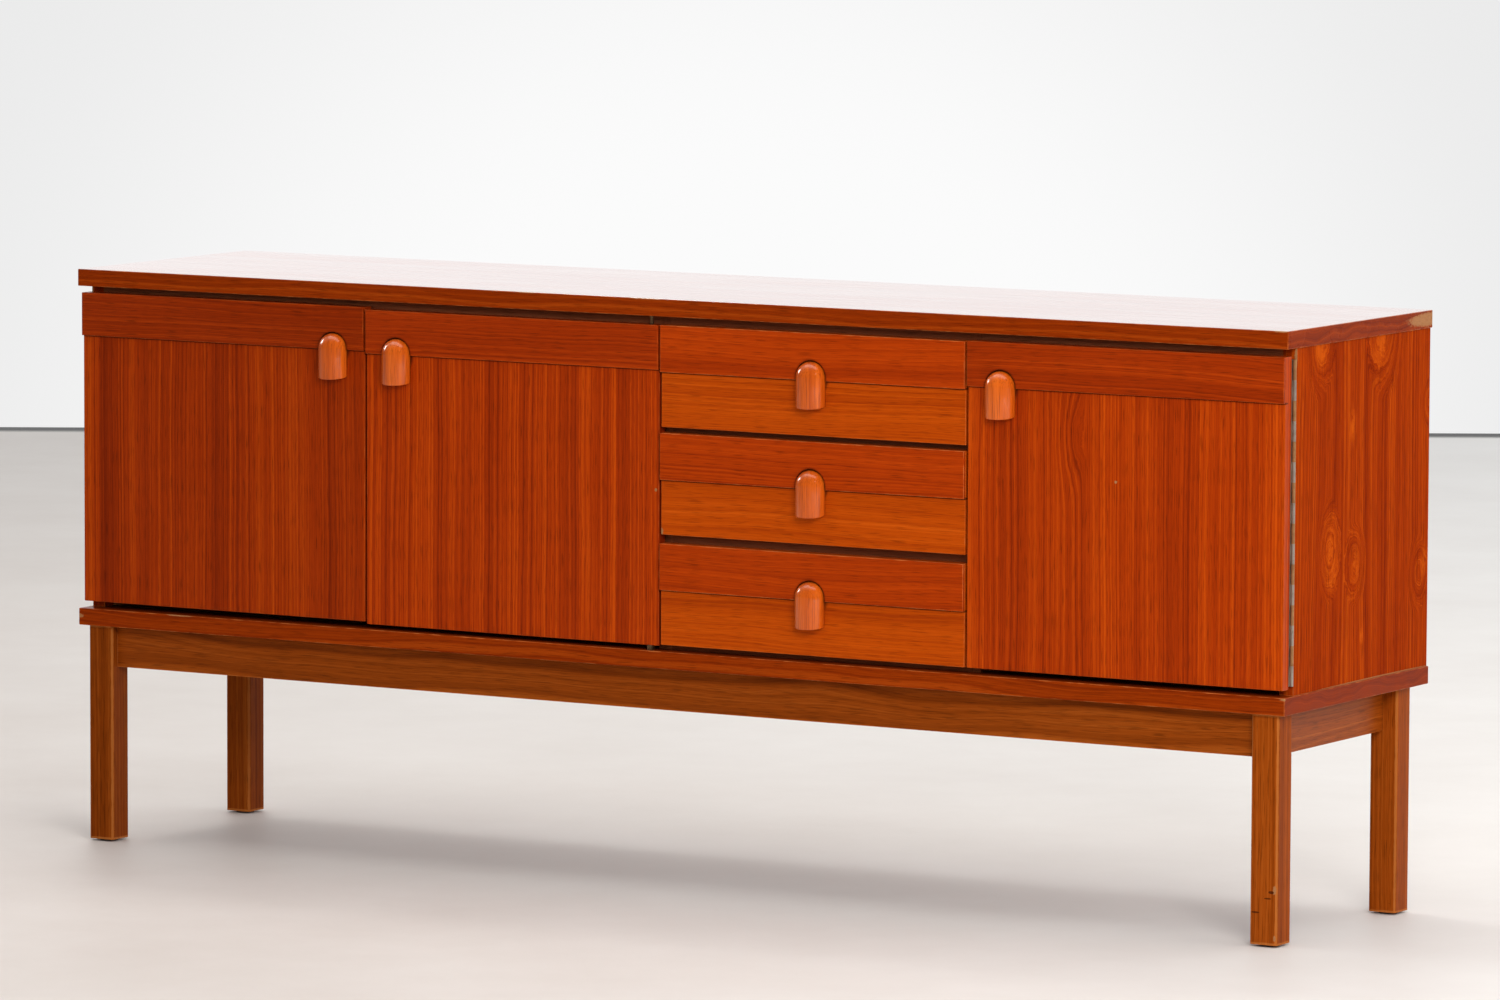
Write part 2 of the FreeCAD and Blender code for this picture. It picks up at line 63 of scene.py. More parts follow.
# Studio: a pale concrete floor that ends at a white wall, soft daylight all round, and large
# soft panels above, at the right and in front.
floor_half = 14.0
floor_far_edge = 6.15
floor_mesh = bmesh.new()
bmesh.ops.create_grid(floor_mesh, x_segments=1, y_segments=1, size=floor_half)
bmesh.ops.translate(floor_mesh, verts=floor_mesh.verts, vec=(0, floor_far_edge - floor_half, 0))
bmesh.ops.rotate(floor_mesh, verts=floor_mesh.verts, matrix=Matrix.Rotation(turn, 3, "Z"))
floor_data = bpy.data.meshes.new("floor")
floor_mesh.to_mesh(floor_data)
floor_mesh.free()
floor = bpy.data.objects.new("floor", floor_data)
scene.collection.objects.link(floor)

floor_paint = bpy.data.materials.new("pale_concrete")
floor_paint.use_nodes = True
nodes = floor_paint.node_tree.nodes
links = floor_paint.node_tree.links
shader = nodes["Principled BSDF"]
place = nodes.new("ShaderNodeTexCoord")
clouds = nodes.new("ShaderNodeTexNoise")
clouds.inputs["Scale"].default_value = 2.2
clouds.inputs["Detail"].default_value = 8.0
clouds.inputs["Roughness"].default_value = 0.65
links.new(place.outputs["Object"], clouds.inputs["Vector"])
rightward = Vector((math.cos(turn), math.sin(turn), 0))
backward = Vector((-math.sin(turn), math.cos(turn), 0))
# The floor is painted lighter towards the right and the back: a painted light fall-off laid over the concrete's own
# clouds.
painted_light_drift = nodes.new("ShaderNodeVectorMath")
painted_light_drift.operation = "DOT_PRODUCT"
links.new(place.outputs["Object"], painted_light_drift.inputs[0])
painted_light_drift.inputs[1].default_value = 0.16 * rightward + 0.045 * backward
cloudy = nodes.new("ShaderNodeMath")
cloudy.operation = "MULTIPLY_ADD"
cloudy.inputs[1].default_value = 0.35
links.new(clouds.outputs["Fac"], cloudy.inputs[0])
links.new(painted_light_drift.outputs["Value"], cloudy.inputs[2])
tone = nodes.new("ShaderNodeValToRGB")
tone.color_ramp.elements[0].position = 0.0
tone.color_ramp.elements[0].color = (0.50, 0.43, 0.38, 1)
tone.color_ramp.elements[1].position = 1.0
tone.color_ramp.elements[1].color = (0.93, 0.90, 0.86, 1)
centred = nodes.new("ShaderNodeMath")
centred.operation = "ADD"
centred.inputs[1].default_value = 0.24
links.new(cloudy.outputs["Value"], centred.inputs[0])
links.new(centred.outputs["Value"], tone.inputs["Fac"])
# A painted shade line along the floor's far edge, where it meets the wall.
how_far = nodes.new("ShaderNodeVectorMath")
how_far.operation = "DOT_PRODUCT"
links.new(place.outputs["Object"], how_far.inputs[0])
how_far.inputs[1].default_value = backward
corner_shade_mask = nodes.new("ShaderNodeMapRange")
corner_shade_mask.inputs["From Min"].default_value = floor_far_edge - 0.11
corner_shade_mask.inputs["From Max"].default_value = floor_far_edge - 0.06
links.new(how_far.outputs["Value"], corner_shade_mask.inputs["Value"])
painted_corner_line = nodes.new("ShaderNodeMix")
painted_corner_line.data_type = "RGBA"
links.new(corner_shade_mask.outputs["Result"], painted_corner_line.inputs["Factor"])
links.new(tone.outputs["Color"], painted_corner_line.inputs[6])
painted_corner_line.inputs[7].default_value = (0.05, 0.05, 0.05, 1)
links.new(painted_corner_line.outputs[2], shader.inputs["Base Color"])
shader.inputs["Roughness"].default_value = 0.55
shader.inputs["Specular IOR Level"].default_value = 0.2
floor_data.materials.append(floor_paint)

world = bpy.data.worlds.new("studio")
scene.world = world
world.use_nodes = True
nodes = world.node_tree.nodes
links = world.node_tree.links
nodes.clear()
direction = nodes.new("ShaderNodeTexCoord")
split = nodes.new("ShaderNodeSeparateXYZ")
links.new(direction.outputs["Generated"], split.inputs["Vector"])
# Reflections see the bright wall behind and overhead, and the dim room behind the camera.
back_and_up = nodes.new("ShaderNodeMath")
back_and_up.operation = "MULTIPLY_ADD"
back_and_up.inputs[1].default_value = 0.9
links.new(split.outputs["Y"], back_and_up.inputs[0])
links.new(split.outputs["Z"], back_and_up.inputs[2])
mirror_range = nodes.new("ShaderNodeMapRange")
mirror_range.interpolation_type = "SMOOTHSTEP"
mirror_range.inputs["From Min"].default_value = -0.2
mirror_range.inputs["From Max"].default_value = 0.8
mirror_range.inputs["To Min"].default_value = 0.10
mirror_range.inputs["To Max"].default_value = 1.12
dim_right = nodes.new("ShaderNodeMath")
dim_right.operation = "MAXIMUM"
dim_right.inputs[1].default_value = 0.0
links.new(split.outputs["X"], dim_right.inputs[0])
less_right = nodes.new("ShaderNodeMath")
less_right.operation = "MULTIPLY_ADD"
less_right.inputs[1].default_value = -1.0
links.new(dim_right.outputs["Value"], less_right.inputs[0])
links.new(back_and_up.outputs["Value"], less_right.inputs[2])
links.new(less_right.outputs["Value"], mirror_range.inputs["Value"])
ray = nodes.new("ShaderNodeLightPath")
soft_light = nodes.new("ShaderNodeBackground")
soft_light.inputs["Color"].default_value = (0.93, 0.96, 1.0, 1)
low_is_bright = nodes.new("ShaderNodeMapRange")
low_is_bright.inputs["From Min"].default_value = 0.0
low_is_bright.inputs["From Max"].default_value = 0.7
low_is_bright.inputs["To Min"].default_value = 0.86
low_is_bright.inputs["To Max"].default_value = 0.46
links.new(split.outputs["Z"], low_is_bright.inputs["Value"])
right_is_bright = nodes.new("ShaderNodeMath")
right_is_bright.operation = "MULTIPLY_ADD"
right_is_bright.inputs[1].default_value = 0.5
right_is_bright.inputs[2].default_value = 1.0
links.new(split.outputs["X"], right_is_bright.inputs[0])
soft_strength = nodes.new("ShaderNodeMath")
soft_strength.operation = "MULTIPLY"
links.new(low_is_bright.outputs["Result"], soft_strength.inputs[0])
links.new(right_is_bright.outputs["Value"], soft_strength.inputs[1])
links.new(soft_strength.outputs["Value"], soft_light.inputs["Strength"])
reflected = nodes.new("ShaderNodeBackground")
reflected.inputs["Color"].default_value = (1, 1, 1, 1)
links.new(mirror_range.outputs["Result"], reflected.inputs["Strength"])
# The wall seen by the camera is painted brighter round the middle of the view and dimmer towards the edges: a painted
# pool of light.
wall = nodes.new("ShaderNodeBackground")
ahead = camera.matrix_world.to_3x3() @ Vector((0, 0, -1))
off_middle = nodes.new("ShaderNodeVectorMath")
off_middle.operation = "DISTANCE"
links.new(direction.outputs["Generated"], off_middle.inputs[0])
off_middle.inputs[1].default_value = ahead
wall_light_pool = nodes.new("ShaderNodeMapRange")
wall_light_pool.interpolation_type = "SMOOTHSTEP"
wall_light_pool.inputs["From Min"].default_value = 0.035
wall_light_pool.inputs["From Max"].default_value = 0.105
wall_light_pool.inputs["To Min"].default_value = 0.965
wall_light_pool.inputs["To Max"].default_value = 0.83
links.new(off_middle.outputs["Value"], wall_light_pool.inputs["Value"])
links.new(wall_light_pool.outputs["Result"], wall.inputs["Color"])
wall.inputs["Strength"].default_value = 1.0
mirror_mix = nodes.new("ShaderNodeMixShader")
links.new(ray.outputs["Is Glossy Ray"], mirror_mix.inputs["Fac"])
links.new(soft_light.outputs["Background"], mirror_mix.inputs[1])
links.new(reflected.outputs["Background"], mirror_mix.inputs[2])
seen_mix = nodes.new("ShaderNodeMixShader")
links.new(ray.outputs["Is Camera Ray"], seen_mix.inputs["Fac"])
links.new(mirror_mix.outputs["Shader"], seen_mix.inputs[1])
links.new(wall.outputs["Background"], seen_mix.inputs[2])
world_out = nodes.new("ShaderNodeOutputWorld")
links.new(seen_mix.outputs["Shader"], world_out.inputs["Surface"])


def soft_panel(name, spot, target, width, height, watts, mirrored=True, lights=True):
    """A square lamp that faces the target, which may light surfaces, be mirrored in them or both."""
    lamp = bpy.data.lights.new(name, "AREA")
    lamp.shape = "RECTANGLE"
    lamp.size = width
    lamp.size_y = height
    lamp.energy = watts
    holder = bpy.data.objects.new(name, lamp)
    aim = Vector(target) - Vector(spot)
    holder.matrix_world = Matrix.Translation(spot) @ aim.to_track_quat("-Z", "Y").to_matrix().to_4x4()
    holder.visible_glossy = mirrored
    holder.visible_diffuse = lights
    scene.collection.objects.link(holder)


soft_panel("overhead", (-0.2, 0.3, 4.4), (-0.2, 0.3, 0), 5.5, 4.5, 128)
soft_panel("back_wash", (-2.4, 4.6, 3.6), (-2.4, 4.6, 0), 5.0, 3.0, 24)
soft_panel("right_front", (3.3, -3.5, 2.3), (0.5, 0, 0.45), 1.8, 1.6, 143, mirrored=False)
soft_panel("right_side", (4.6, 0.6, 1.8), (0.9, 0, 0.4), 1.8, 1.8, 26, mirrored=False)
soft_panel("left_window", (-4.8, -0.5, 2.3), (0, -0.2, 0.6), 0.8, 1.2, 60, lights=False)
soft_panel("ceiling_window", (-1.7, 1.0, 3.3), (0, 0, 0.5), 0.45, 0.45, 17)


# Top and bottom boards: thick slabs faced with teak, the grain along the length, with worn
# arrises. The same veneer recipe serves every other piece, with its own colours and grain.
def socket_math(tree, kind, first, second=None, third=None):
    node = tree.nodes.new("ShaderNodeMath")
    node.operation = kind
    for index, value in enumerate((first, second, third)):
        if value is None:
            continue
        if isinstance(value, (int, float)):
            node.inputs[index].default_value = value
        else:
            tree.links.new(value, node.inputs[index])
    return node.outputs[0]


def blend_colour(tree, amount, first, second):
    node = tree.nodes.new("ShaderNodeMix")
    node.data_type = "RGBA"
    for socket, value in ((node.inputs[0], amount), (node.inputs[6], first), (node.inputs[7], second)):
        if isinstance(value, tuple):
            socket.default_value = (*value, 1)
        elif isinstance(value, float):
            socket.default_value = value
        else:
            tree.links.new(value, socket)
    return node.outputs[2]


def noise(tree, vector, scale, detail=3.0, rough=0.55):
    node = tree.nodes.new("ShaderNodeTexNoise")
    node.inputs["Scale"].default_value = scale
    node.inputs["Detail"].default_value = detail
    node.inputs["Roughness"].default_value = rough
    tree.links.new(vector, node.inputs["Vector"])
    return node.outputs["Fac"]


def line_noise(tree, value, scale, detail=3.0, rough=0.6):
    node = tree.nodes.new("ShaderNodeTexNoise")
    node.noise_dimensions = "1D"
    node.inputs["Scale"].default_value = scale
    node.inputs["Detail"].default_value = detail
    node.inputs["Roughness"].default_value = rough
    tree.links.new(value, node.inputs["W"])
    return node.outputs["Fac"]


def fit_range(tree, value, low, high, out_low=0.0, out_high=1.0, smooth=False):
    node = tree.nodes.new("ShaderNodeMapRange")
    node.interpolation_type = "SMOOTHSTEP" if smooth else "LINEAR"
    tree.links.new(value, node.inputs["Value"])
    node.inputs["From Min"].default_value = low
    node.inputs["From Max"].default_value = high
    node.inputs["To Min"].default_value = out_low
    node.inputs["To Max"].default_value = out_high
    return node.outputs["Result"]


def scaled(tree, vector, factors, shift=(0, 0, 0)):
    node = tree.nodes.new("ShaderNodeMapping")
    tree.links.new(vector, node.inputs["Vector"])
    node.inputs["Scale"].default_value = factors
    node.inputs["Location"].default_value = shift
    return node.outputs["Vector"]


def edge_distance(tree, parts, low, high):
    """Distance in metres to the nearest long edge of the block that the piece fills."""
    gaps = []
    for socket, a, b in zip(parts, low, high):
        off_centre = socket_math(tree, "SUBTRACT", socket, (a + b) / 2)
        gaps.append(socket_math(tree, "SUBTRACT", (b - a) / 2, socket_math(tree, "ABSOLUTE", off_centre)))
    smaller = socket_math(tree, "MINIMUM", gaps[0], gaps[1])
    larger = socket_math(tree, "MAXIMUM", gaps[0], gaps[1])
    return socket_math(tree, "MAXIMUM", smaller, socket_math(tree, "MINIMUM", larger, gaps[2]))


def teak(name, box, grain, dark, middle, light, seed, leaf=0.0, leaf_tone=0.10, ripple=0.006, band=0.5,
         rough=0.34, gloss=0.16, coat=0.0, worn=(0.62, 0.20, 0.05), wear=0.0009, wear_amount=0.5,
         eyes=(), flames=(), chips=(), lined=None, speckle=0.0, shade_and_scuffs=(), banded=False, polished_top=False):
    """Lacquered teak: growth lines, veneer leaves, pores, worn arrises, chips and a lighter lining."""
    paint = bpy.data.materials.new(name)
    paint.use_nodes = True
    tree = paint.node_tree
    shader = tree.nodes["Principled BSDF"]
    place = tree.nodes.new("ShaderNodeTexCoord").outputs["Object"]
    split = tree.nodes.new("ShaderNodeSeparateXYZ")
    tree.links.new(place, split.inputs["Vector"])
    parts = [split.outputs[k] for k in range(3)]
    along = "XYZ".index(grain)
    broad_face = min(range(3), key=lambda k: box[1][k] - box[0][k])
    across = [k for k in range(3) if k not in (along, broad_face)]
    across, deep = (across[0], broad_face) if across else (broad_face, broad_face)
    shift = (seed * 3.7, seed * 1.9, seed * 5.3)
    long_scale = [7.0, 7.0, 7.0]
    long_scale[along] = 1.6
    bend = noise(tree, scaled(tree, place, long_scale, shift), 1.0, 2.0)
    fine_scale = [45.0, 45.0, 45.0]
    fine_scale[along] = 5.0
    fine_bend = noise(tree, scaled(tree, place, fine_scale, shift), 1.0, 2.0)
    side_step = parts[across]
    if banded:
        middle_of_length = (box[0][along] + box[1][along]) / 2
        reach_along = socket_math(tree, "ABSOLUTE", socket_math(tree, "SUBTRACT", parts[along], middle_of_length))
        long_part = socket_math(tree, "LESS_THAN", reach_along, (box[1][along] - box[0][along]) / 2 - 0.0006)
        side_step = socket_math(tree, "MULTIPLY", side_step, long_part)
    position = socket_math(tree, "MULTIPLY_ADD", parts[deep], 0.83, side_step)
    position = socket_math(tree, "MULTIPLY_ADD", bend, ripple * 6, position)
    position = socket_math(tree, "MULTIPLY_ADD", fine_bend, ripple * 0.5, position)
    flicker = noise(tree, scaled(tree, place, (75, 75, 75), shift), 1.0, 3.0, 0.6)

    def near(spot, reach, roughen=0.6):
        offset = scaled(tree, place, tuple(1 / r for r in reach), tuple(-c / r for c, r in zip(spot, reach)))
        far = tree.nodes.new("ShaderNodeVectorMath")
        far.operation = "LENGTH"
        tree.links.new(offset, far.inputs[0])
        return socket_math(tree, "MULTIPLY_ADD", flicker, roughen, far.outputs["Value"])

    glow = None
    for spot, reach, push in eyes:
        ring = fit_range(tree, near(spot, reach, 0.22), 1.15, 0.15, 0.0, 1.0, smooth=True)
        position = socket_math(tree, "MULTIPLY_ADD", ring, push, position)
    for spot, reach in flames:
        flame = fit_range(tree, near(spot, reach, 1.6), 1.8, 0.9, 0.0, 1.0, smooth=True)
        glow = flame if glow is None else socket_math(tree, "MAXIMUM", glow, flame)
    position = socket_math(tree, "ADD", position, seed * 1.37)
    tone = None
    if leaf:
        cell = tree.nodes.new("ShaderNodeTexVoronoi")
        cell.voronoi_dimensions = "1D"
        cell.inputs["Scale"].default_value = 1.0
        tree.links.new(socket_math(tree, "MULTIPLY_ADD", parts[across], 1.0 / leaf, seed * 2.618), cell.inputs["W"])
        pick = tree.nodes.new("ShaderNodeSeparateColor")
        tree.links.new(cell.outputs["Color"], pick.inputs["Color"])
        position = socket_math(tree, "MULTIPLY_ADD", pick.outputs["Green"], 0.7, position)
        tone = socket_math(tree, "MULTIPLY_ADD", pick.outputs["Red"], leaf_tone, -leaf_tone / 2)
    bands = line_noise(tree, position, 30.0, 2.0)
    lines = line_noise(tree, position, 210.0, 4.0, 0.75)
    cloud_scale = [24.0, 24.0, 24.0]
    cloud_scale[along] = 3.2
    clouds = noise(tree, scaled(tree, place, cloud_scale, shift), 1.0, 4.0, 0.6)
    total = socket_math(tree, "MULTIPLY", bands, band)
    total = socket_math(tree, "MULTIPLY_ADD", lines, 0.85 - band, total)
    total = socket_math(tree, "MULTIPLY_ADD", clouds, 0.15, total)
    if tone is not None:
        total = socket_math(tree, "ADD", total, tone)
    if glow is not None:
        lit = socket_math(tree, "MULTIPLY", glow, fit_range(tree, flicker, 0.35, 0.65, 0.02, 0.24))
        total = socket_math(tree, "ADD", lit, total)
    ramp = tree.nodes.new("ShaderNodeValToRGB")
    tree.links.new(total, ramp.inputs["Fac"])
    ramp.color_ramp.elements[0].position = 0.34
    ramp.color_ramp.elements[0].color = (*dark, 1)
    ramp.color_ramp.elements[1].position = 0.66
    ramp.color_ramp.elements[1].color = (*light, 1)
    centre = ramp.color_ramp.elements.new(0.5)
    centre.color = (*middle, 1)
    colour = ramp.outputs["Color"]
    pore_scale = [1100.0, 1100.0, 1100.0]
    pore_scale[along] = 30.0
    pores = fit_range(tree, noise(tree, scaled(tree, place, pore_scale), 1.0, 1.0), 0.56, 0.66)
    colour = blend_colour(tree, socket_math(tree, "MULTIPLY", pores, 0.5), colour, tuple(0.4 * c for c in dark))
    if lined is not None:
        pale = tuple(0.5 * (c + d) for c, d in zip((0.62, 0.36, 0.15), light))
        inside = None
        for socket, low, high in zip(parts, lined[0], lined[1]):
            for kind, limit in (("GREATER_THAN", low), ("LESS_THAN", high)):
                test = socket_math(tree, kind, socket, limit)
                inside = test if inside is None else socket_math(tree, "MULTIPLY", inside, test)
        lining = blend_colour(tree, clouds, tuple(0.7 * c for c in pale), pale)
        colour = blend_colour(tree, socket_math(tree, "MULTIPLY", inside, 0.8), colour, lining)
    rag = noise(tree, scaled(tree, place, (70, 70, 70)), 1.0, 3.0)
    edge = edge_distance(tree, parts, box[0], box[1])
    ragged = socket_math(tree, "MULTIPLY_ADD", rag, -0.0022, edge)
    rubbed = fit_range(tree, ragged, wear - 0.0011, wear - 0.0019, 0.0, wear_amount, smooth=True)
    colour = blend_colour(tree, rubbed, colour, worn)
    crumbs = noise(tree, scaled(tree, place, (380, 380, 380)), 1.0, 4.0, 0.65)
    bare = None
    for spot, reach in chips:
        offset = scaled(tree, place, tuple(1 / r for r in reach), tuple(-c / r for c, r in zip(spot, reach)))
        far = tree.nodes.new("ShaderNodeVectorMath")
        far.operation = "LENGTH"
        tree.links.new(offset, far.inputs[0])
        rim = socket_math(tree, "MULTIPLY_ADD", crumbs, 1.5, far.outputs["Value"])
        patch = fit_range(tree, rim, 1.8, 1.6, 0.0, 1.0)
        bare = patch if bare is None else socket_math(tree, "MAXIMUM", bare, patch)
    if bare is not None:
        raw = blend_colour(tree, crumbs, (0.20, 0.06, 0.015), (0.46, 0.22, 0.09))
        colour = blend_colour(tree, bare, colour, raw)
    if speckle:
        dents = fit_range(tree, noise(tree, scaled(tree, place, (330, 330, 330), shift), 1.0, 2.0), 0.74, 0.78)
        colour = blend_colour(tree, socket_math(tree, "MULTIPLY", dents, speckle), colour, (0.02, 0.008, 0.004))
    # Listed dark patches: callers use them for painted shade under the strips and in the notches round the pulls, and
    # for real scuffs on a leg.
    for spot, reach in shade_and_scuffs:
        shade = fit_range(tree, near(spot, reach, 0.1), 1.15, 0.9, 0.0, 0.75, smooth=True)
        colour = blend_colour(tree, shade, colour, (0.02, 0.004, 0.002))
    tree.links.new(colour, shader.inputs["Base Color"])
    sheen = fit_range(tree, clouds, 0.3, 0.7, rough - 0.05, rough + 0.07)
    tree.links.new(sheen, shader.inputs["Roughness"])
    shader.inputs["Specular IOR Level"].default_value = gloss
    shader.inputs["Specular Tint"].default_value = (1.0, 0.50, 0.14, 1.0)
    shader.inputs["Coat Weight"].default_value = coat
    shader.inputs["Coat Roughness"].default_value = 0.08
    if polished_top:
        face_up = socket_math(tree, "GREATER_THAN", parts[2], box[1][2] - 0.0008)
        tree.links.new(socket_math(tree, "MULTIPLY", face_up, coat), shader.inputs["Coat Weight"])
    relief = tree.nodes.new("ShaderNodeBump")
    relief.inputs["Strength"].default_value = 0.12
    relief.inputs["Distance"].default_value = 0.0004
    tree.links.new(socket_math(tree, "MULTIPLY_ADD", pores, -0.8, lines), relief.inputs["Height"])
    tree.links.new(relief.outputs["Normal"], shader.inputs["Normal"])
    return paint


def finish_node(node, paint):
    """Give one finish to the whole of a piece that comes with the frame."""
    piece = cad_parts[node]
    piece.data.materials.clear()
    piece.data.materials.append(paint)


top_low, top_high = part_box("top_board")
bottom_low, bottom_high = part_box("bottom_board")
left_low, left_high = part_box("side_panel_left")
right_low, right_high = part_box("side_panel_right")
back_low, back_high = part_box("back_panel")
skin = 0.0004
inside_case = ((left_high[0] - skin, left_low[1] + 0.020, bottom_high[2] - skin),
               (right_low[0] + skin, back_low[1] + skin, top_low[2] + skin))
board_red = dict(dark=(0.14, 0.012, 0.001), middle=(0.24, 0.026, 0.001), light=(0.34, 0.048, 0.003))
top_chips = (((top_high[0], top_high[1] - 0.006, top_high[2] - 0.011), (0.0012, 0.062, 0.009)),
             ((top_high[0] - 0.01, top_low[1], top_high[2]), (0.012, 0.003, 0.002)),
             ((-0.02, top_low[1], top_high[2]), (0.030, 0.002, 0.0015)),
             ((-0.20, top_low[1], top_high[2]), (0.016, 0.002, 0.0015)))
finish_node("top_board", teak("top_board", (top_low, top_high), "X", seed=1, ripple=0.008, band=0.3, rough=0.26, gloss=0.05,
                              coat=1.0, polished_top=True, banded=True, chips=top_chips, lined=inside_case, **board_red))
bottom_chips = (((bottom_high[0], bottom_low[1], bottom_high[2] - 0.002), (0.006, 0.004, 0.0018)),
                ((bottom_low[0], bottom_low[1], bottom_high[2] - 0.010), (0.008, 0.002, 0.003)),
                ((bottom_low[0] + 0.16, bottom_low[1], bottom_high[2]), (0.020, 0.002, 0.0015)))
finish_node("bottom_board", teak("bottom_board", (bottom_low, bottom_high), "X", seed=2, ripple=0.008, band=0.3, gloss=0.05, banded=True,
                                 chips=bottom_chips, lined=inside_case, **board_red))

# Side panels: chipboard faced with upright heartwood veneer that swirls round two eyes low down
# near the front, with paler flames under the top and beside the eyes. Inside it is plainer.
panel_orange = dict(dark=(0.145, 0.011, 0.001), middle=(0.295, 0.027, 0.001), light=(0.49, 0.072, 0.003))
for seed, node in ((3, "side_panel_left"), (4, "side_panel_right")):
    low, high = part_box(node)
    x = high[0] if node == "side_panel_right" else low[0]
    depth = high[1] - low[1]
    tall = high[2] - low[2]

    def on_face(u, v, half_wide, half_tall):
        return (x, low[1] + u * depth, low[2] + v * tall), (0.5, half_wide, half_tall)

    eyes = [(*on_face(*at), push) for at, push in (
        ((0.25, 0.40, 0.036, 0.066), 0.13), ((0.45, 0.345, 0.032, 0.054), -0.11), ((0.92, 0.28, 0.030, 0.05), 0.07),
        ((0.17, 1.00, 0.045, 0.07), 0.09), ((0.66, 1.02, 0.055, 0.09), -0.10), ((0.99, 0.78, 0.022, 0.034), 0.05))]
    flames = [on_face(*at) for at in ((0.27, 0.37, 0.026, 0.080), (0.45, 0.34, 0.020, 0.040), (0.42, 0.75, 0.013, 0.034),
                                      (0.17, 0.99, 0.026, 0.045), (0.62, 0.97, 0.026, 0.032), (0.97, 0.31, 0.012, 0.032),
                                      (0.50, 0.13, 0.007, 0.014))]
    edge_chips = [((x, low[1], high[2] - 0.010), (0.003, 0.002, 0.014)), ((x, low[1] + 0.62 * depth, low[2]), (0.003, 0.16, 0.0016))]
    finish_node(node, teak(node, (low, high), "Z", seed=seed, ripple=0.005, band=0.28, gloss=0.003, eyes=eyes,
                           flames=flames, chips=edge_chips, wear_amount=0.3, lined=inside_case, **panel_orange))

# Inside the case: dividers edged with teak, rails, shelves, runners and corner blocks of a plain
# paler wood, and a thin back of stained plywood held by a row of small nails.
rail_brown = dict(dark=(0.15, 0.028, 0.010), middle=(0.26, 0.060, 0.022), light=(0.36, 0.10, 0.040))
beech = dict(dark=(0.38, 0.19, 0.08), middle=(0.50, 0.28, 0.13), light=(0.60, 0.37, 0.19))
for seed, node in ((5, "divider_left"), (6, "divider_right")):
    finish_node(node, teak(node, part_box(node), "Z", seed=seed, lined=inside_case, wear_amount=0.2, **rail_brown))
for seed, node in ((7, "door_top_rails"), (8, "drawer_rails")):
    finish_node(node, teak(node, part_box(node), "X", seed=seed, wear_amount=0.0, **rail_brown))
for seed, node in ((9, "shelf_left"), (10, "shelf_right")):
    finish_node(node, teak(node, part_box(node), "X", seed=seed, worn=(0.7, 0.45, 0.25), gloss=0.3, **beech))
for seed, node, grain in ((11, "drawer_runners", "Y"), (12, "corner_blocks", "X")):
    finish_node(node, teak(node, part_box(node), grain, seed=seed, wear_amount=0.0, gloss=0.25, rough=0.5, **beech))
plywood = dict(dark=(0.20, 0.095, 0.040), middle=(0.28, 0.145, 0.065), light=(0.36, 0.20, 0.095))
finish_node("back_panel", teak("back_panel", (back_low, back_high), "X", seed=13, ripple=0.02, rough=0.5, gloss=0.25,
                               wear_amount=0.0, lined=inside_case, **plywood))


def metal(name, tint, shine, spots=0.0, stain=(0.05, 0.035, 0.02)):
    """Aged bare metal with cloudy tarnish."""
    paint = bpy.data.materials.new(name)
    paint.use_nodes = True
    tree = paint.node_tree
    shader = tree.nodes["Principled BSDF"]
    place = tree.nodes.new("ShaderNodeTexCoord").outputs["Object"]
    clouds = noise(tree, place, 90.0, 5.0, 0.65)
    tarnish = fit_range(tree, clouds, 0.45, 0.70, 0.0, spots)
    tree.links.new(blend_colour(tree, tarnish, tint, stain), shader.inputs["Base Color"])
    tree.links.new(fit_range(tree, clouds, 0.3, 0.7, shine - 0.06, shine + 0.12), shader.inputs["Roughness"])
    shader.inputs["Metallic"].default_value = 0.9
    return paint


nail_steel = metal("nail_steel", (0.42, 0.40, 0.37), 0.4, 0.6)
nail_mesh = bmesh.new()
nail_y = back_high[1]
nail_radius = 0.0022
nail_spots = []
columns = 15
for column in range(columns):
    x = back_low[0] + 0.012 + column * (back_high[0] - back_low[0] - 0.024) / (columns - 1)
    nail_spots += [(x, back_low[2] + 0.010), (x, back_high[2] - 0.010)]
for row in range(1, 4):
    z = back_low[2] + row * (back_high[2] - back_low[2]) / 4
    nail_spots += [(x, z) for x in (back_low[0] + 0.008, back_high[0] - 0.008)]
for node in ("divider_left", "divider_right"):
    low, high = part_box(node)
    for row in range(1, 5):
        nail_spots.append(((low[0] + high[0]) / 2, back_low[2] + row * (back_high[2] - back_low[2]) / 5))
for x, z in nail_spots:
    head = bmesh.ops.create_uvsphere(nail_mesh, u_segments=10, v_segments=6, radius=nail_radius)["verts"]
    bmesh.ops.scale(nail_mesh, verts=head, vec=(1, 1, 0.45))
    bmesh.ops.rotate(nail_mesh, verts=head, matrix=Matrix.Rotation(math.pi / 2, 3, "X"))
    bmesh.ops.translate(nail_mesh, verts=head, vec=(x, nail_y, z))
nail_data = bpy.data.meshes.new("back_nails")
nail_mesh.to_mesh(nail_data)
nail_mesh.free()
nail_data.shade_smooth()
nail_data.materials.append(nail_steel)
nails = bpy.data.objects.new("back_nails", nail_data)
scene.collection.objects.link(nails)
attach(nails, "case")

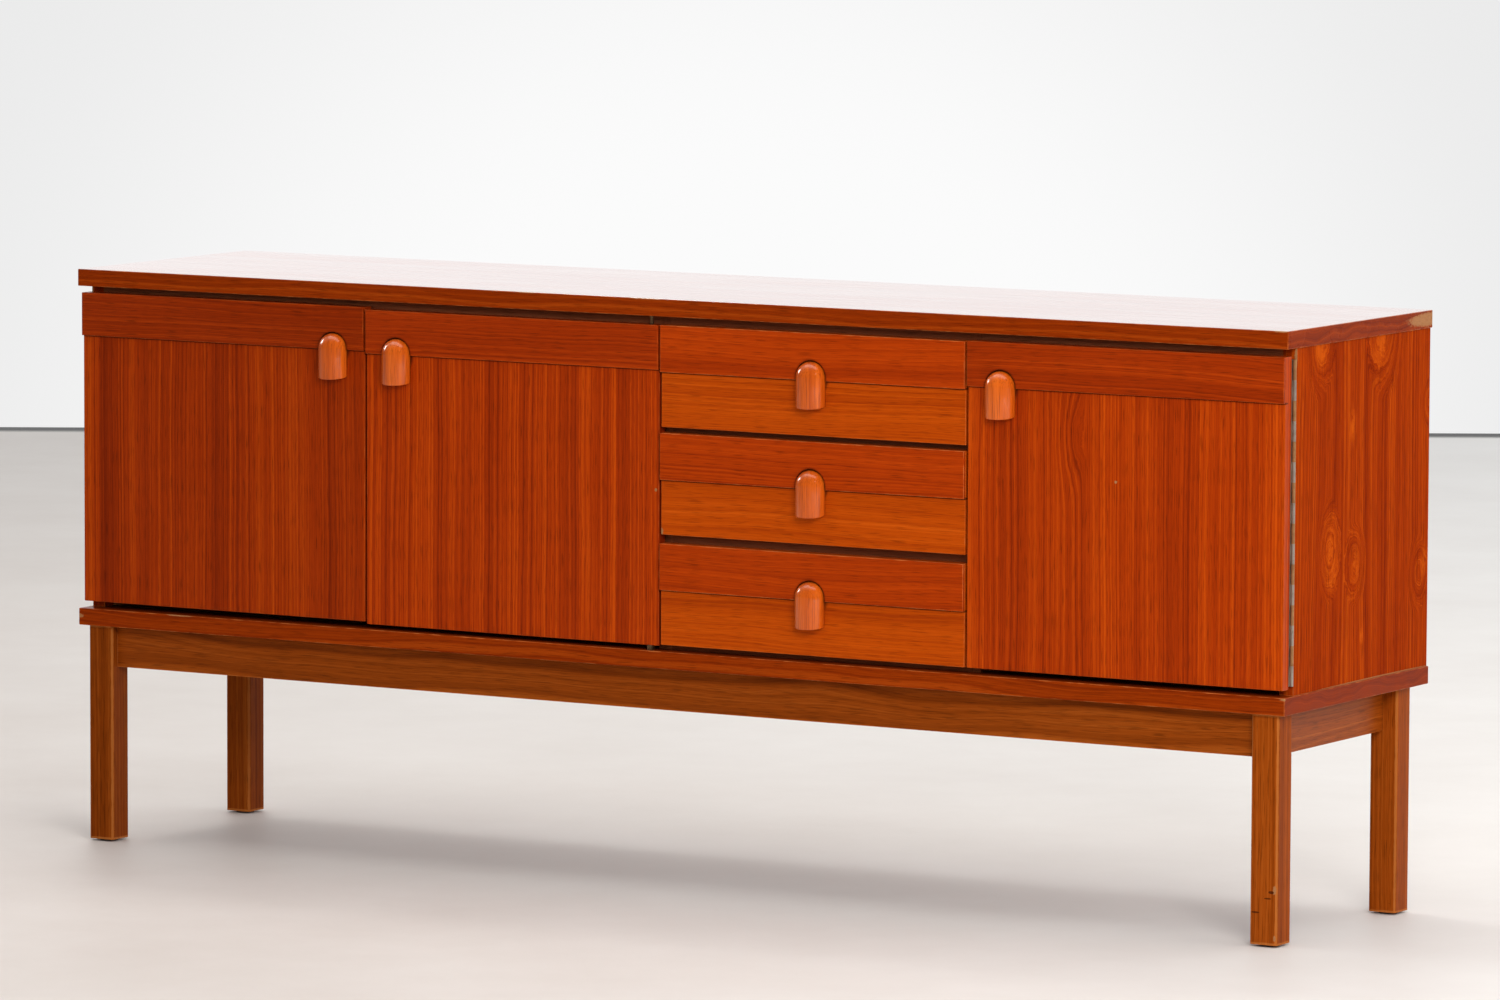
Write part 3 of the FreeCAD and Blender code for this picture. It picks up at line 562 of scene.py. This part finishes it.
# Doors: panels veneered with narrow upright leaves of teak, each leaf a little lighter or darker
# than the next, and a raised strip of darker teak laid across the top.
door_red = dict(dark=(0.19, 0.013, 0.001), middle=(0.36, 0.031, 0.001), light=(0.56, 0.070, 0.002))
strip_red = dict(dark=(0.19, 0.014, 0.001), middle=(0.30, 0.025, 0.001), light=(0.42, 0.044, 0.002))
door_chips = {1: ((0.002, 0.356),), 2: ((0.440, 0.20),), 3: ((0.443, 0.385), (0.210, 0.245))}
for number in (1, 2, 3):
    node = "door_%d_panel" % number
    low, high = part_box(node)
    spots = [((low[0] + x, low[1], low[2] + z), (0.002, 0.002, 0.0022)) for x, z in door_chips[number]]
    strip_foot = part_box("door_%d_strip" % number)[0][2]
    pull_low, pull_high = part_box("door_%d_pull" % number)
    pull_x = (pull_low[0] + pull_high[0]) / 2
    pull_half = (pull_high[0] - pull_low[0]) / 2
    notch = pull_half + 0.0045
    # Painted shade: a dark line on the panel just under the strip, and a dark patch in the strip's notch round the
    # pull, on panel and strip alike.
    painted_shade_marks = (((pull_x, low[1], strip_foot), (2, 0.008, 0.0014)),
            ((pull_x, low[1], pull_high[2] - pull_half), (notch, 0.012, notch)))
    # Each door and its strip get their own darkening factor. Door 1 is darkened most, partly for the boards' own tone
    # and partly as painted shade for the dimmer left end.
    shade = (0.83, 0.99, 0.95)[number - 1]
    tones = {key: tuple(shade * c for c in value) for key, value in door_red.items()}
    knots = []
    if number == 3:
        knots = [((low[0] + 0.146, low[1], high[2] - 0.112), (0.026, 0.5, 0.085), 0.014)]
    finish_node(node, teak(node, (low, high), "Z", seed=13 + number, shade_and_scuffs=painted_shade_marks, eyes=knots, leaf=0.052, leaf_tone=0.10, ripple=0.003,
                           band=0.28, chips=spots, wear_amount=0.25, speckle=0.25,
                           worn=(0.55, 0.14, 0.03), **tones))
    node = "door_%d_strip" % number
    tones = {key: tuple(shade * c for c in value) for key, value in strip_red.items()}
    finish_node(node, teak(node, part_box(node), "X", seed=20 + number, ripple=0.007, band=0.25, wear_amount=0.3,
                           worn=(0.50, 0.12, 0.02), shade_and_scuffs=painted_shade_marks[1:], **tones))

# Drawers: fronts of paler teak with the grain running level, under raised strips of the same
# dark teak as the doors, on boxes of plain pale wood with thin plywood bottoms.
drawer_orange = dict(dark=(0.31, 0.032, 0.001), middle=(0.44, 0.056, 0.001), light=(0.56, 0.085, 0.003))
drawer_strip_red = dict(dark=(0.25, 0.019, 0.001), middle=(0.37, 0.034, 0.001), light=(0.48, 0.052, 0.002))
box_wood = dict(dark=(0.42, 0.24, 0.11), middle=(0.54, 0.33, 0.16), light=(0.64, 0.42, 0.22))
for number in (1, 2, 3):
    node = "drawer_%d_front" % number
    low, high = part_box(node)
    spots = [((low[0], low[1], low[2] + 0.004), (0.003, 0.003, 0.005))] if number == 2 else []
    strip_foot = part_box("drawer_%d_strip" % number)[0][2]
    pull_low, pull_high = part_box("drawer_%d_pull" % number)
    pull_half = (pull_high[0] - pull_low[0]) / 2
    notch = pull_half + 0.0045
    arch = ((pull_low[0] + pull_high[0]) / 2, low[1], pull_high[2] - pull_half)
    # Painted shade: a dark line on the front just under the strip, and a dark patch in the strip's notch round the
    # pull.
    painted_shade_marks = (((0, low[1], strip_foot), (3, 0.008, 0.0016)), (arch, (notch, 0.012, notch)))
    finish_node(node, teak(node, (low, high), "X", seed=30 + number, shade_and_scuffs=painted_shade_marks, ripple=0.006, band=0.35, chips=spots,
                           wear_amount=0.3, **drawer_orange))
    node = "drawer_%d_strip" % number
    finish_node(node, teak(node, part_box(node), "X", seed=40 + number, ripple=0.007, band=0.25, wear_amount=0.5,
                           shade_and_scuffs=painted_shade_marks[1:], **drawer_strip_red))
    for step, (part, grain) in enumerate((("sides", "Y"), ("back", "X"), ("bottom", "X"))):
        node = "drawer_%d_%s" % (number, part)
        finish_node(node, teak(node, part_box(node), grain, seed=50 + 3 * number + step, ripple=0.008, gloss=0.25,
                               rough=0.48, wear_amount=0.0, **box_wood))

# Pulls: thumb-shaped knobs of paler, glossier teak, rounded over the head and both sides, cut
# off level at the foot and glued to the front in the arched notch of its strip.
pull_orange = dict(dark=(0.42, 0.056, 0.002), middle=(0.56, 0.088, 0.004), light=(0.70, 0.130, 0.009))
pull_steps = 12
pull_power = 2.1
for index, front in enumerate(("door_1", "door_2", "door_3", "drawer_1", "drawer_2", "drawer_3")):
    low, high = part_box(front + "_pull")
    half_width = (high[0] - low[0]) / 2
    centre_x = (high[0] + low[0]) / 2
    depth = high[1] - low[1]
    side_depth = 0.18 * depth
    arch_z = high[2] - half_width
    mesh = bmesh.new()
    profile = []
    for step in range(pull_steps + 1):
        angle = step / pull_steps * math.pi / 2
        x = half_width * math.cos(angle) ** (2 / pull_power)
        out = side_depth + (depth - side_depth) * math.sin(angle) ** (2 / pull_power)
        profile.append(mesh.verts.new((x, -out, 0)))
    profile.insert(0, mesh.verts.new((half_width, 0, 0)))
    rim = [mesh.edges.new(pair) for pair in zip(profile, profile[1:])]
    bmesh.ops.spin(mesh, geom=profile + rim, cent=(0, 0, 0), axis=(0, -1, 0), angle=math.pi, steps=24)
    bmesh.ops.remove_doubles(mesh, verts=mesh.verts, dist=1e-6)
    ends = [e for e in mesh.edges if e.is_boundary and all(abs(v.co.z) < 1e-6 for v in e.verts)]
    grown = bmesh.ops.extrude_edge_only(mesh, edges=ends)["geom"]
    feet = [v for v in grown if isinstance(v, bmesh.types.BMVert)]
    bmesh.ops.translate(mesh, verts=feet, vec=(0, 0, low[2] - arch_z))
    undercut = 0.003
    for vert in feet:
        vert.co.z += undercut * (1 + vert.co.y / depth)
    mesh.edges.new([v for v in feet if abs(v.co.y) < 1e-6])
    bmesh.ops.edgeloop_fill(mesh, edges=[e for e in mesh.edges if all(v in feet for v in e.verts)])
    bmesh.ops.edgeloop_fill(mesh, edges=[e for e in mesh.edges if e.is_boundary])
    bmesh.ops.recalc_face_normals(mesh, faces=mesh.faces)
    foot_rim = [e for e in mesh.edges if all(v in feet for v in e.verts)
                and any(abs(v.co.y) > 1e-5 for v in e.verts)]
    bmesh.ops.bevel(mesh, geom=foot_rim, offset=0.0016, offset_type="OFFSET", segments=3, profile=0.5,
                    affect="EDGES", material=-1)
    bmesh.ops.translate(mesh, verts=mesh.verts, vec=(centre_x, high[1], arch_z))
    data = bpy.data.meshes.new(front + "_pull_knob")
    mesh.to_mesh(data)
    mesh.free()
    data.shade_smooth()
    data.materials.append(teak(front + "_pull_knob", (low, high), "Z", seed=70 + index, ripple=0.004, band=0.5,
                               rough=0.24, gloss=0.2, coat=0.85, wear_amount=0.0, speckle=0.5, **pull_orange))
    knob = bpy.data.objects.new(front + "_pull_knob", data)
    scene.collection.objects.link(knob)
    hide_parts(front + "_pull")
    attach(knob, front)

# Hinges and fittings: long brass-plated piano hinges gone dull on the outer doors, brass pivots
# under and over the middle door, steel screws and pegs, and brown plastic magnet catches.
dull_brass = metal("dull_brass", (0.48, 0.43, 0.36), 0.42, 0.5, (0.25, 0.18, 0.11))
dark_brass = metal("dark_brass", (0.55, 0.30, 0.13), 0.55, 0.4, (0.25, 0.12, 0.05))
fitting_steel = metal("fitting_steel", (0.55, 0.54, 0.51), 0.33, 0.4)
# The pivots are painted a near-black brown so that they sink into the shade of the gap: painted shade.
pivot_shade_metal = metal("pivot_shade_metal", (0.20, 0.12, 0.06), 0.5, 0.8)
for node in ("pivot_bushes", "door_2_pivot_pins"):
    finish_node(node, pivot_shade_metal)
for node in ("door_1_hinge_leaf", "door_3_hinge_leaf"):
    finish_node(node, dull_brass)
for node in ("hinge_frame_leaves", "hinge_pins", "case_screws"):
    finish_node(node, dark_brass)
for node in ("door_1_fixings", "door_2_fixings", "door_3_fixings", "shelf_pegs"):
    finish_node(node, fitting_steel)


def plastic(name, tint, shade, rough):
    """Moulded plastic with a faint mottle and a fine grain in its surface."""
    paint = bpy.data.materials.new(name)
    paint.use_nodes = True
    tree = paint.node_tree
    shader = tree.nodes["Principled BSDF"]
    place = tree.nodes.new("ShaderNodeTexCoord").outputs["Object"]
    mottle = noise(tree, place, 140.0, 4.0)
    tree.links.new(blend_colour(tree, mottle, tint, shade), shader.inputs["Base Color"])
    tree.links.new(fit_range(tree, mottle, 0.3, 0.7, rough - 0.05, rough + 0.1), shader.inputs["Roughness"])
    return paint


finish_node("magnet_catches", plastic("catch_plastic", (0.16, 0.075, 0.035), (0.09, 0.04, 0.02), 0.45))
finish_node("foot_glides", plastic("glide_plastic", (0.03, 0.026, 0.022), (0.012, 0.010, 0.009), 0.5))

# Leg frame: square legs and deep rails of solid wood, browner and plainer than the case above,
# rubbed pale along the arrises and knocked about at the feet.
leg_brown = dict(dark=(0.14, 0.022, 0.001), middle=(0.25, 0.045, 0.003), light=(0.37, 0.085, 0.009))
seed = 80
for row in ("front", "rear"):
    for end in ("left", "right"):
        node = "leg_%s_%s" % (row, end)
        low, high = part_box(node)
        chips = []
        scuffs = []
        if node == "leg_front_right":
            chips = [((high[0] - 0.0035, low[1], low[2] + 0.069), (0.0022, 0.002, 0.0060)),
                     ((high[0] - 0.0005, low[1], low[2] + 0.126), (0.0012, 0.001, 0.0080)),
                     ((high[0] - 0.0030, low[1], low[2] + 0.009), (0.0018, 0.002, 0.0040))]
            scuffs = [((high[0] - 0.008, low[1], low[2] + 0.066), (0.0040, 0.002, 0.0018)),
                      ((high[0] - 0.013, low[1], low[2] + 0.058), (0.0050, 0.002, 0.0010)),
                      ((low[0] + 0.008, low[1], low[2] + 0.040), (0.0060, 0.002, 0.0012))]
        # The left legs are painted darker and the right legs lighter: painted shade and light for the light falling
        # from the right.
        shade = 0.80 if end == "left" else 1.10
        tones = {key: tuple(shade * c for c in value) for key, value in leg_brown.items()}
        seed += 1
        finish_node(node, teak(node, (low, high), "Z", seed=seed, ripple=0.005, band=0.35, wear=0.0030,
                               gloss=0.04, wear_amount=0.4, worn=(0.52, 0.18, 0.04), speckle=0.8, chips=chips, shade_and_scuffs=scuffs,
                               **tones))
for node in ("apron_front", "apron_rear"):
    seed += 1
    finish_node(node, teak(node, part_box(node), "X", seed=seed, ripple=0.016, band=0.45, wear_amount=0.4, **leg_brown))
finish_node("side_aprons", teak("side_aprons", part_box("side_aprons"), "Y", seed=90, ripple=0.010, band=0.45,
                                wear_amount=0.0, **leg_brown))
